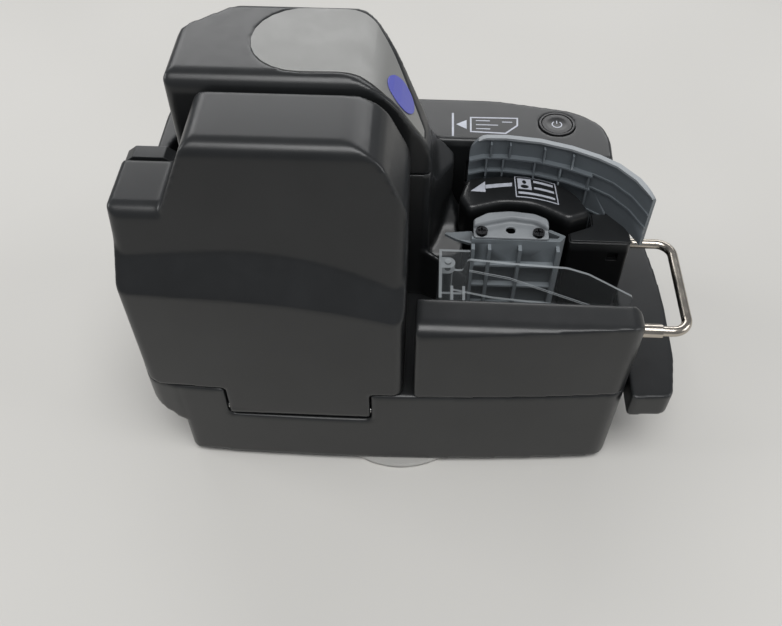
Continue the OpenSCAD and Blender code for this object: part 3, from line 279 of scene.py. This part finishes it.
def glass(name, rgb, rough):
    """Thin cover glass"""
    n = Nodes(name)
    n.feed(n.ramp(n.noise(120, 3), rough, rough + 0.05), "Roughness")
    n.bump(n.noise(60, 2), 0.02 * MM, 0.3)
    return n.set(Base_Color=(*rgb, 1), IOR=1.49, Transmission_Weight=1.0)


def soft_pad(name, rgb):
    """Milky clear elastomer"""
    n = Nodes(name)
    n.feed(n.mix(n.ramp(n.noise(60, 3), 0, 1), shade(rgb, 0.92), shade(rgb, 1.06)), "Base Color")
    n.bump(n.noise(300, 2), 0.03 * MM, 0.3)
    return n.set(Roughness=0.3, Transmission_Weight=0.35, IOR=1.45)


def board_green(name):
    """Green board with paler tracks"""
    n = Nodes(name)
    tracks = n.put("ShaderNodeTexBrick", Scale=220.0)
    n.join(n.place(), tracks.inputs["Vector"])
    tracks.inputs["Color1"].default_value = (0.010, 0.075, 0.030, 1)
    tracks.inputs["Color2"].default_value = (0.012, 0.090, 0.040, 1)
    tracks.inputs["Mortar"].default_value = (0.030, 0.16, 0.07, 1)
    n.feed(tracks.outputs["Color"], "Base Color")
    n.bump(tracks.outputs["Fac"], 0.03 * MM, 0.5)
    return n.set(Roughness=0.35, Coat_Weight=0.4)


def roller(name):
    """Ground rubber"""
    n = Nodes(name)
    streaks = n.ramp(n.noise(300, 2, (1, 1, 0.1)), 0, 1)
    n.feed(n.mix(streaks, (0.018, 0.018, 0.019, 1), (0.035, 0.035, 0.037, 1)), "Base Color")
    n.bump(n.noise(900, 3), 0.03 * MM, 0.5)
    return n.set(Roughness=0.62)


def ink(rgb):
    """Pale printing ink"""
    n = Nodes("Print")
    n.feed(n.mix(n.ramp(n.noise(400, 3), 0, 1), shade(rgb, 0.9), shade(rgb, 1.05)), "Base Color")
    n.bump(n.noise(2500, 2), 0.01 * MM, 0.3)
    return n.set(Roughness=0.45)


def plain_floor(rgb):
    """Matt floor with a very faint cloudiness"""
    n = Nodes("Floor")
    n.feed(n.mix(n.ramp(n.noise(3, 2), 0, 1), shade(rgb, 0.97), shade(rgb, 1.03)), "Base Color")
    n.bump(n.noise(900, 2), 0.02 * MM, 0.2)
    return n.set(Roughness=0.8, Specular_IOR_Level=0.2)


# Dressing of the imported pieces
def dress(names, material):
    """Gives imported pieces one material"""
    for name in names:
        mesh = NODES[name].data
        mesh.materials.clear()
        mesh.materials.append(material)


def melt_edges(names, voxel, passes):
    """Rounds every edge of a moulded shell a little, by remeshing it finely and smoothing the result"""
    for name in names:
        node = NODES[name]
        grid = node.modifiers.new("Even mesh", "REMESH")
        grid.mode = "VOXEL"
        grid.voxel_size = voxel
        grid.use_smooth_shade = True
        relax = node.modifiers.new("Soft edges", "SMOOTH")
        relax.factor = 0.5
        relax.iterations = passes


def bevel_edges(names, width, segments=2):
    """Small machine-made roundings on parts with plain faces"""
    for name in names:
        node = NODES[name]
        weld = node.modifiers.new("Joined corners", "WELD")
        weld.merge_threshold = WELD_DISTANCE
        flat = node.modifiers.new("Whole faces", "DECIMATE")
        flat.decimate_type = "DISSOLVE"
        flat.angle_limit = FLAT_ANGLE
        bevel = node.modifiers.new("Soft edges", "BEVEL")
        bevel.width = width
        bevel.segments = segments
        bevel.limit_method = "ANGLE"
        bevel.angle_limit = EDGE_ANGLE
        bevel.use_clamp_overlap = True
        even = node.modifiers.new("Even shading", "WEIGHTED_NORMAL")
        even.weight = 100
        for face in node.data.polygons:
            face.use_smooth = True


class SCANNER_OT_casings(bpy.types.Operator):
    """Black satin casings and covers"""
    bl_idname = "scanner.casings"
    bl_label = "Casings"

    shells = ["rear_housing", "left_end_guide", "core_housing", "exit_pocket_housing", "card_guide",
              "side_tray", "front_cover", "centre_cover"]
    plain = ["bottom_plate", "turn_guide", "latch_housing", "tail_block", "cover_latch"]

    def execute(self, context):
        look = context.scene.scanner_finish
        dress(["base_casing", *self.shells, *self.plain],
              moulded("Satin black", look.casing, look.casing_rough, edge_wear_and_highlight=2.0))
        # tail_block and card_guide get painted shade on their lower faces, a little under their tops
        for name in ("tail_block", "card_guide"):
            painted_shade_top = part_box(name)[1].z - PAINTED_SHADE_DROP
            dress([name], moulded(f"Satin black, {name}", look.casing, look.casing_rough, painted_shade_top=painted_shade_top))
        melt_edges(["base_casing"], BASE_MESH, 3)
        melt_edges(self.shells, SHELL_MESH, 4)
        bevel_edges(self.plain, CASING_EDGE)
        return {"FINISHED"}


class SCANNER_OT_insides(bpy.types.Operator):
    """Inner plastic parts, board and sensors"""
    bl_idname = "scanner.insides"
    bl_label = "Inner parts"

    dark = ["core_top_plate", "front_liner", "core_image_sensor", "cover_image_sensor", "ink_cartridge",
            "cartridge_holder", "board_parts", "power_socket"]

    def execute(self, context):
        dress(self.dark, moulded("Inner black", (0.030, 0.030, 0.032), 0.5))
        dress(["circuit_board"], board_green("Board"))
        dress(["core_sensor_glass", "cover_sensor_glass"], glass("Sensor glass", (0.9, 0.95, 0.95), 0.01))
        dress(["motor", "feed_motor"], moulded("Motor enamel", (0.03, 0.03, 0.03), 0.35))
        bevel_edges(self.dark + ["motor"], context.scene.scanner_finish.edge_radius)
        return {"FINISHED"}


class SCANNER_OT_drive(bpy.types.Operator):
    """Rollers, shafts, belt and metal parts"""
    bl_idname = "scanner.drive"
    bl_label = "Drive"

    rollers = [name for name in NODES if name.endswith("_roller")]
    steel = ["casing_screws", "pinch_axles", "cover_axles", "front_hinge_pin", "centre_hinge_pin",
             "motor_pulley"]

    def execute(self, context):
        dress(self.rollers, roller("Roller rubber"))
        dress(["drive_belt", "rubber_feet"], rubber("Black rubber", (0.02, 0.02, 0.02)))
        dress(self.steel, metal("Ground steel", (0.52, 0.52, 0.50), 0.28))
        dress(["chassis_plate"], metal("Zinc sheet", (0.55, 0.56, 0.55), 0.4, (1, 0.05, 1)))
        dress(["usb_socket", "magnetic_head"], metal("Tinned steel", (0.62, 0.62, 0.61), 0.25))
        dress(["shaft_bushes"], metal("Bronze", (0.45, 0.30, 0.14), 0.4))
        bevel_edges(["chassis_plate", "magnetic_head", "usb_socket"], SHEET_EDGE)
        return {"FINISHED"}


class SCANNER_OT_hopper(bpy.types.Operator):
    """Hopper plate, divider and cap"""
    bl_idname = "scanner.hopper"
    bl_label = "Hopper and divider"

    def execute(self, context):
        look = context.scene.scanner_finish
        # The hopper plate's rim is a painted highlight along its top edge
        rim = (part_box("hopper_plate")[1].z - PAINTED_HIGHLIGHT_HEIGHT, look.rim)
        dress(["hopper_plate"], moulded("Slate", look.slate, 0.38, edge_wear_and_highlight=2.0, rim=rim))
        dress(["pocket_divider"], moulded("Blue-grey", look.blue_grey, 0.42, edge_wear_and_highlight=2.2))
        dress(["divider_cap"], moulded("Light grey", look.light_grey, 0.42, edge_wear_and_highlight=1.2))
        dress(["cap_screws"], metal("Black screws", (0.03, 0.03, 0.032), 0.35))
        bevel_edges(["hopper_plate", "pocket_divider"], look.edge_radius)
        melt_edges(["divider_cap"], CAP_MESH, 4)
        return {"FINISHED"}


class SCANNER_OT_clear_parts(bpy.types.Operator):
    """Clear flag, guide block and grip pad"""
    bl_idname = "scanner.clear_parts"
    bl_label = "Clear parts"

    def execute(self, context):
        look = context.scene.scanner_finish
        dress(["exit_flag"], clear_plastic("Clear flag", look.clear, 0.09, 0.5))
        dress(["exit_guide_block"], clear_plastic("Clear block", look.clear, 0.3, 0.45))
        dress(["grip_pad"], soft_pad("Clear pad", (0.62, 0.61, 0.58)))
        bevel_edges(["exit_flag", "exit_guide_block"], CLEAR_EDGE)
        return {"FINISHED"}


class SCANNER_OT_trim(bpy.types.Operator):
    """Inlay panel, badge, wire and button"""
    bl_idname = "scanner.trim"
    bl_label = "Trim"

    def execute(self, context):
        look = context.scene.scanner_finish
        dress(["inlay_panel"], silver_paint("Silver paint", look.silver))
        dress(["round_badge"], silver_paint("Badge blue", look.badge))
        dress(["wire_stop", "wire_bushes"], metal("Nickel", look.nickel, 0.2, (0.2, 0.2, 1)))
        button = ["power_button", "button_bezel"]
        dress(button, moulded("Button black", (0.016, 0.016, 0.017), 0.32, grain=0.15))
        bevel_edges(button, look.edge_radius, 3)
        bevel_edges(["inlay_panel", "round_badge"], INLAY_EDGE)
        return {"FINISHED"}


# Printed marks
def flat_piece(name, outline, height, body, material, holes=()):
    """A thin printed mark: an outline in millimetres, raised at a height"""
    mesh = bpy.data.meshes.new(name)
    work = bmesh.new()
    edges = []
    for loop in (outline, *holes):
        points = [work.verts.new((x * MM, y * MM, height)) for x, y in loop]
        edges += [work.edges.new((points[i], points[(i + 1) % len(points)])) for i in range(len(points))]
    bmesh.ops.triangle_fill(work, edges=edges, use_beauty=True)
    raised = bmesh.ops.extrude_face_region(work, geom=work.faces[:])
    for vert in raised["geom"]:
        if isinstance(vert, bmesh.types.BMVert):
            vert.co.z += MARK_THICKNESS
    bmesh.ops.recalc_face_normals(work, faces=work.faces[:])
    work.to_mesh(mesh)
    work.free()
    piece = bpy.data.objects.new(name, mesh)
    bpy.context.scene.collection.objects.link(piece)
    mesh.materials.append(material)
    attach(piece, body)


def bar(x0, y0, x1, y1, width):
    """The outline of a straight stroke"""
    along = Vector((x1 - x0, y1 - y0)).normalized()
    side = Vector((-along.y, along.x)) * width / 2
    return [(x0 - side.x, y0 - side.y), (x1 - side.x, y1 - side.y),
            (x1 + side.x, y1 + side.y), (x0 + side.x, y0 + side.y)]


def arc(x, y, r, a0, a1, n):
    """Places along an arc between two angles in degrees"""
    return [(x + r * math.cos(math.radians(a0 + (a1 - a0) * i / n)),
             y + r * math.sin(math.radians(a0 + (a1 - a0) * i / n))) for i in range(n + 1)]


class SCANNER_OT_marks(bpy.types.Operator):
    """Printed marks on the deck, the card guide and the button"""
    bl_idname = "scanner.marks"
    bl_label = "Printed marks"

    def execute(self, context):
        paint = ink(context.scene.scanner_finish.print_ink)
        self.deck_marks(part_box("rear_housing")[1].z, paint)
        self.card_marks(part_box("card_guide")[1].z, paint)
        self.button_marks(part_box("rear_housing")[1].z - BUTTON_MARK_DROP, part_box("power_button"), paint)
        return {"FINISHED"}

    def deck_marks(self, z, paint):
        flat_piece("deck_bar", bar(21.6, 42.7, 21.6, 60.7, 1.0), z, "base", paint)
        flat_piece("deck_arrow", [(23.2, 51.9), (28.4, 48.4), (28.4, 55.4)], z, "base", paint)
        rim = [(30.1, 57.9), (54.1, 58.2), (53.8, 51.9), (47.6, 45.4), (30.0, 46.1)]
        inner = [(30.9, 57.1), (53.3, 57.4), (53.0, 52.3), (47.2, 46.3), (30.8, 46.9)]
        flat_piece("deck_cheque", rim, z, "base", paint, holes=[inner])
        for i, (x0, x1, y) in enumerate(((33, 40, 55.2), (33, 44, 52.0), (33, 40, 48.9), (46, 51, 54.6))):
            flat_piece(f"deck_line_{i}", bar(x0, y, x1, y, 0.6), z, "base", paint)

    def card_marks(self, z, paint):
        head = [(30.7, 15.7), (37.8, 15.3), (37.7, 22.8)]
        flat_piece("card_arrow_head", head, z, "base", paint)
        shaft = [(37.6, 17.7), (44.3, 19.0), (50.6, 20.0), (50.7, 22.4), (44.4, 21.5), (37.6, 20.3)]
        flat_piece("card_arrow_shaft", shaft, z, "base", paint)
        rim = card_quad(0, 0, 1, 1)
        flat_piece("card_frame", rim, z, "base", paint, holes=[card_quad(0.025, 0.045, 0.975, 0.955)])
        flat_piece("card_picture", card_quad(0.07, 0.40, 0.40, 0.90), z, "base", paint,
                   holes=[card_loop(0.235, 0.74, 0.05, 0.09), card_loop(0.235, 0.53, 0.10, 0.085)])
        for i, (u0, u1, v) in enumerate(((0.46, 0.93, 0.82), (0.46, 0.93, 0.52), (0.07, 0.93, 0.22))):
            flat_piece(f"card_line_{i}", card_quad(u0, v - 0.05, u1, v + 0.05), z, "base", paint)

    def button_marks(self, z, box, paint):
        x, y = (box[0].x + box[1].x) / 2 / MM, (box[0].y + box[1].y) / 2 / MM
        ring = arc(x, y, 2.6, 125, 415, 28) + arc(x, y, 2.1, 415, 125, 28)
        flat_piece("button_ring", ring, z, "power_button", paint)
        flat_piece("button_stroke", bar(x, y + 0.6, x, y + 3.0, 0.5), z, "power_button", paint)


def card_point(u, v):
    """A place on the bent card outline: u along it, v from its front edge to its back edge"""
    front = Vector((52.2 + 20.0 * u, 12.5 - 4.6 * u + 4.4 * u * (1 - u)))
    back = Vector((51.9 + 19.5 * u, 27.3 - 4.8 * u + 4.4 * u * (1 - u)))
    return tuple(front.lerp(back, v))


def card_quad(u0, v0, u1, v1, n=8):
    """The outline of a bent patch of the card"""
    along = [u0 + (u1 - u0) * i / n for i in range(n + 1)]
    return [card_point(u, v0) for u in along] + [card_point(u, v1) for u in reversed(along)]


def card_loop(u, v, ru, rv, n=16):
    """The outline of an oval on the card"""
    return [card_point(u + ru * math.cos(2 * math.pi * i / n), v + rv * math.sin(2 * math.pi * i / n))
            for i in range(n)]


# Stage
def lamp(name, at, aim, size, power):
    """A soft rectangular lamp that looks at a place"""
    light = bpy.data.lights.new(name, "AREA")
    light.shape = "RECTANGLE"
    light.size, light.size_y = size
    light.energy = power
    holder = bpy.data.objects.new(name, light)
    bpy.context.scene.collection.objects.link(holder)
    holder.location = at
    holder.rotation_euler = (Vector(aim) - Vector(at)).to_track_quat("-Z", "Y").to_euler()


class SCANNER_OT_stage(bpy.types.Operator):
    """Floor, lights and camera"""
    bl_idname = "scanner.stage"
    bl_label = "Stage"

    def execute(self, context):
        look = context.scene.scanner_stage
        self.floor(look)
        self.lights(context, look)
        self.camera(context, look)
        context.scene.view_settings.view_transform = "Standard"
        return {"FINISHED"}

    def floor(self, look):
        bpy.ops.mesh.primitive_plane_add(size=12)
        floor = bpy.context.object
        floor.name = "floor"
        floor.data.materials.append(plain_floor(look.floor))

    def lights(self, context, look):
        world = bpy.data.worlds.new("Room")
        world.use_nodes = True
        sky = world.node_tree.nodes["Background"]
        sky.inputs["Color"].default_value = (0.92, 0.95, 1.0, 1)
        sky.inputs["Strength"].default_value = look.sky
        context.scene.world = world
        lamp("back_softbox", (-0.1, 1.75, 1.15), (0, -0.1, 0.1), (2.6, 0.5), 17)
        lamp("overhead", (0.1, -0.7, 2.3), (0, -0.2, 0), (1.6, 1.0), 34)
        lamp("left_window", (-1.8, 0.1, 1.1), (0, 0, 0.1), (1.0, 0.8), 11)
        lamp("right_fill", (1.7, -0.2, 0.9), (0, 0, 0.1), (1.0, 0.8), 7)

    def camera(self, context, look):
        camera = bpy.data.cameras.new("Camera")
        camera.sensor_width = 36
        camera.lens = look.lens
        camera.clip_start = 0.01
        camera.clip_end = 30
        holder = bpy.data.objects.new("Camera", camera)
        context.scene.collection.objects.link(holder)
        holder.location = look.camera_at
        holder.rotation_euler = (look.camera_down, 0, look.camera_turn)
        context.scene.camera = holder


OPERATORS = (SCANNER_OT_casings, SCANNER_OT_insides, SCANNER_OT_drive, SCANNER_OT_hopper,
             SCANNER_OT_clear_parts, SCANNER_OT_trim, SCANNER_OT_marks, SCANNER_OT_stage)


class SCANNER_PT_panel(bpy.types.Panel):
    """Lists the scanner's finishes and its stage"""
    bl_idname = "SCANNER_PT_panel"
    bl_label = "Cheque scanner"
    bl_space_type = "VIEW_3D"
    bl_region_type = "UI"
    bl_category = "Scanner"

    def draw(self, context):
        for group in (context.scene.scanner_finish, context.scene.scanner_stage):
            column = self.layout.column()
            for name in group.__annotations__:
                column.prop(group, name)
        for operator in OPERATORS:
            self.layout.operator(operator.bl_idname)


CLASSES = (ScannerFinish, ScannerStage, *OPERATORS, SCANNER_PT_panel)


def register():
    for cls in CLASSES:
        bpy.utils.register_class(cls)
    bpy.types.Scene.scanner_finish = bpy.props.PointerProperty(type=ScannerFinish)
    bpy.types.Scene.scanner_stage = bpy.props.PointerProperty(type=ScannerStage)


def unregister():
    del bpy.types.Scene.scanner_stage
    del bpy.types.Scene.scanner_finish
    for cls in reversed(CLASSES):
        bpy.utils.unregister_class(cls)


def main():
    register()
    for operator in OPERATORS:
        group, action = operator.bl_idname.split(".")
        getattr(getattr(bpy.ops, group), action)()


if __name__ == "__main__":
    main()
